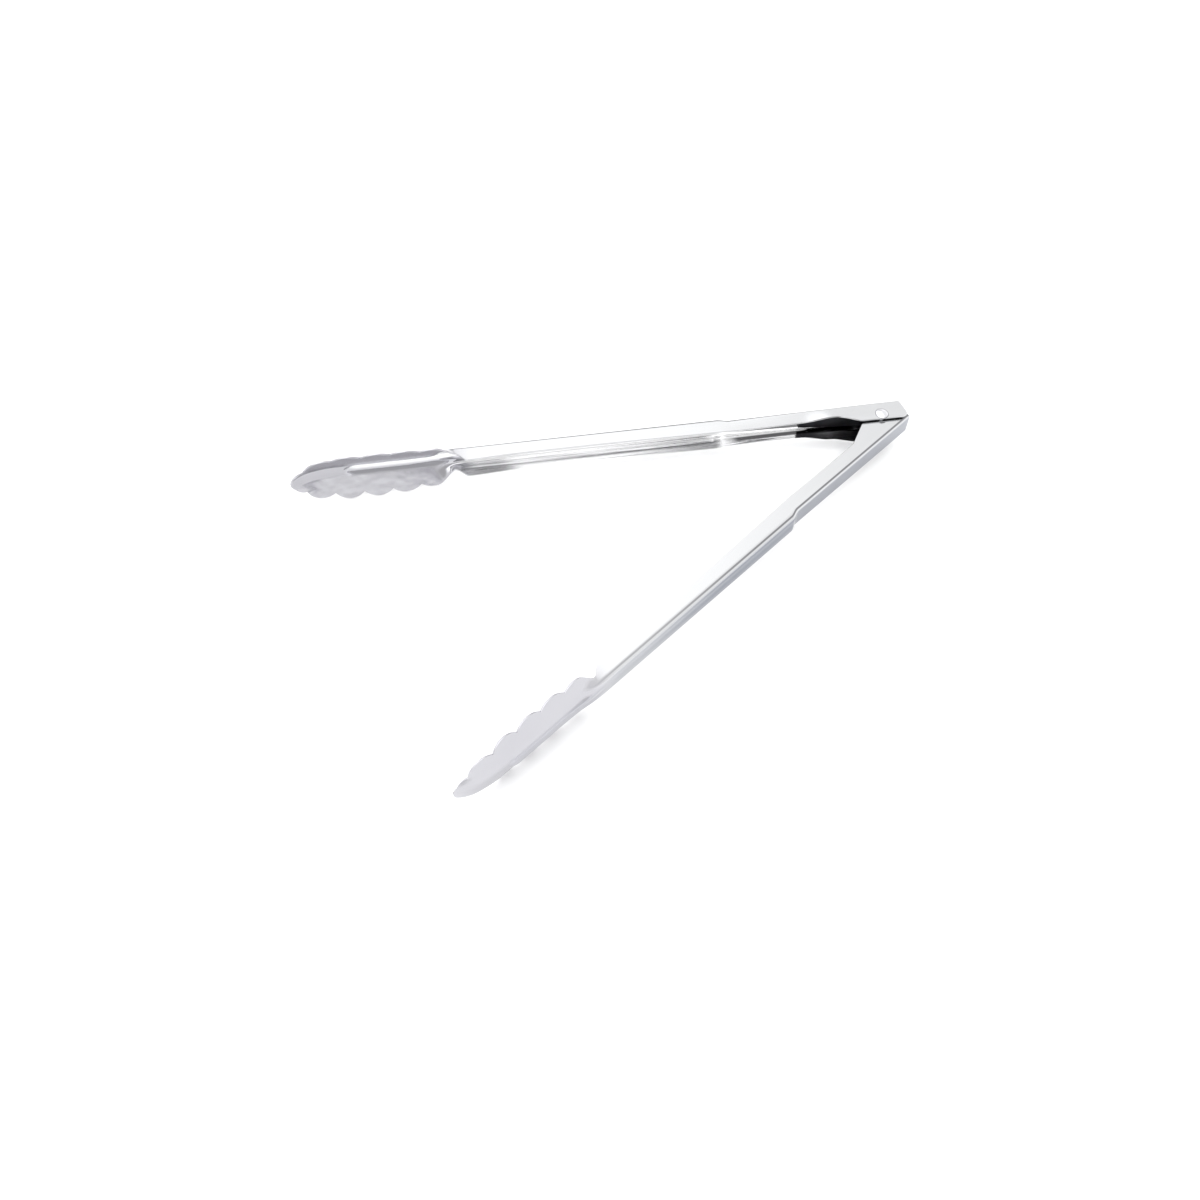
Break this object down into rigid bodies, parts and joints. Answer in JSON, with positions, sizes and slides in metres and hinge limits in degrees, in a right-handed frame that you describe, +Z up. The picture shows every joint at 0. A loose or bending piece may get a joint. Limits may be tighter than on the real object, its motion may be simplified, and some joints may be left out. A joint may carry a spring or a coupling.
{
  "type": "kitchen tongs",
  "caption": "Spring loaded kitchen tongs with channel shaped steel arms on a riveted hinge and long open jaws with scalloped edges.",
  "frame": {"origin": "middle of the whole on the surface that the open tongs lie on", "axes": "+Z up along the hinge axis, jaws towards -X, outer arm on the +Y side"},
  "size_m": [0.3871, 0.2489, 0.0395],
  "materials": {
    "arm_steel": "polished with a faint lengthwise brush",
    "rivet_steel": "polished",
    "sleeve_steel": "drawn tube",
    "spring_steel": "blackened, satin"
  },
  "bodies": {
    "outer": {"outer_arm": "arm_steel", "hinge_rivet": "rivet_steel", "spacer_sleeve": "sleeve_steel", "leaf_spring": "spring_steel"},
    "inner": {"inner_arm": "arm_steel"}
  },
  "joints": [
    {"name": "arm_hinge", "type": "hinge", "parent": "outer", "child": "inner", "pos_m": [0.1744, 0, 0.01975], "axis": [0, 0, -1], "range_deg": [0, 36.1], "stiffness_Nm_per_rad": 1.2, "springref_deg": -20.05, "deforming": ["leaf_spring"]}
  ]
}
